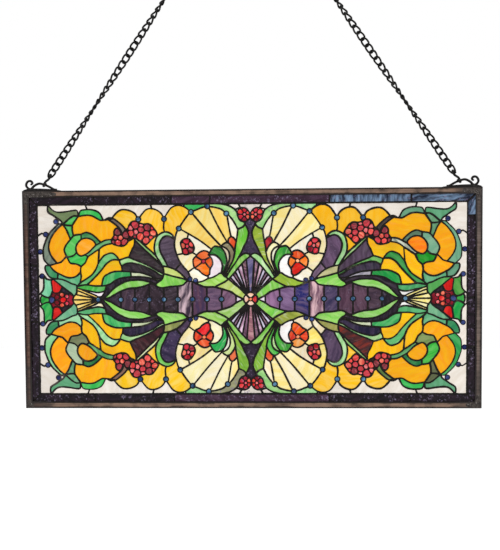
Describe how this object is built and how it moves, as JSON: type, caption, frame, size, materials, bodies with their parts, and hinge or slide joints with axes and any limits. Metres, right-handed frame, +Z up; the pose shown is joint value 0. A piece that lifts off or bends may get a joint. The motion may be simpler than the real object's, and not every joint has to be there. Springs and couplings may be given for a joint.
{
  "type": "leaded stained glass window panel",
  "caption": "Oblong leaded panel of coloured opalescent glass in a channel frame, hung from two wire hangers by a two-legged chain.",
  "frame": {"origin": "underside of the upper bar of the ring at the top of the chain, where a hook would bear", "axes": "+X to the viewer's right along the panel's width, +Z up, and the front of the panel faces -Y"},
  "size_m": [0.813, 0.0118, 0.9525],
  "materials": {
    "pale_yellow_glass": "streaky opalescent sheet",
    "red_glass": "rippled opalescent sheet",
    "green_glass": "streaky opalescent sheet",
    "violet_glass": "streaky opalescent sheet",
    "amber_glass": "smooth opalescent sheet",
    "crimson_glass": "glass nuggets",
    "dark_green_glass": "streaky opalescent sheet",
    "orange_glass": "smooth opalescent sheet",
    "cream_glass": "opalescent sheet",
    "pink_glass": "streaky opalescent sheet",
    "plum_glass": "dark opalescent sheet",
    "lead": "black patina on solder",
    "brown_channel": "brown patina",
    "dark_wire": "dark patina",
    "black_chain": "blackened"
  },
  "bodies": {
    "root": {"glass_fan_upper_left": "pale_yellow_glass", "glass_fan_upper_right": "pale_yellow_glass", "glass_fan_lower_left": "pale_yellow_glass", "glass_fan_lower_right": "pale_yellow_glass", "glass_blossom_upper_left": "red_glass", "glass_blossom_upper_right": "red_glass", "glass_blossom_lower_left": "red_glass", "glass_blossom_lower_right": "red_glass", "glass_leaves_upper_left": "green_glass", "glass_leaves_upper_right": "green_glass", "glass_leaves_lower_left": "green_glass", "glass_leaves_lower_right": "green_glass", "glass_club_upper_left": "violet_glass", "glass_club_upper_right": "violet_glass", "glass_club_lower_left": "violet_glass", "glass_club_lower_right": "violet_glass", "glass_scallops_upper_left": "amber_glass", "glass_scallops_upper_right": "amber_glass", "glass_scallops_lower_left": "amber_glass", "glass_scallops_lower_right": "amber_glass", "glass_berries_upper_left": "crimson_glass", "glass_berries_upper_right": "crimson_glass", "glass_berries_lower_left": "crimson_glass", "glass_berries_lower_right": "crimson_glass", "glass_petals_upper_left": "dark_green_glass", "glass_petals_upper_right": "dark_green_glass", "glass_petals_lower_left": "dark_green_glass", "glass_petals_lower_right": "dark_green_glass", "glass_rose_upper_left": "orange_glass", "glass_rose_upper_right": "orange_glass", "glass_rose_lower_left": "orange_glass", "glass_rose_lower_right": "orange_glass", "glass_ground_upper_left": "cream_glass", "glass_ground_upper_right": "cream_glass", "glass_ground_lower_left": "cream_glass", "glass_ground_lower_right": "cream_glass", "glass_centre_flower": "pink_glass", "glass_upright_upper": "plum_glass", "glass_upright_lower": "plum_glass", "glass_band_left": "violet_glass", "glass_end_fan_left": "pale_yellow_glass", "glass_band_right": "violet_glass", "glass_end_fan_right": "pale_yellow_glass", "glass_border_top": "plum_glass", "glass_border_right": "plum_glass", "glass_border_bottom": "plum_glass", "glass_border_left": "plum_glass", "lead_net": "lead", "rail_top": "brown_channel", "rail_right": "brown_channel", "rail_bottom": "brown_channel", "rail_left": "brown_channel", "chain_ring": "black_chain", "hanger_left": "dark_wire", "hook_left": "black_chain", "chain_leg_left": "black_chain", "hanger_right": "dark_wire", "hook_right": "black_chain", "chain_leg_right": "black_chain"}
  },
  "joints": []
}
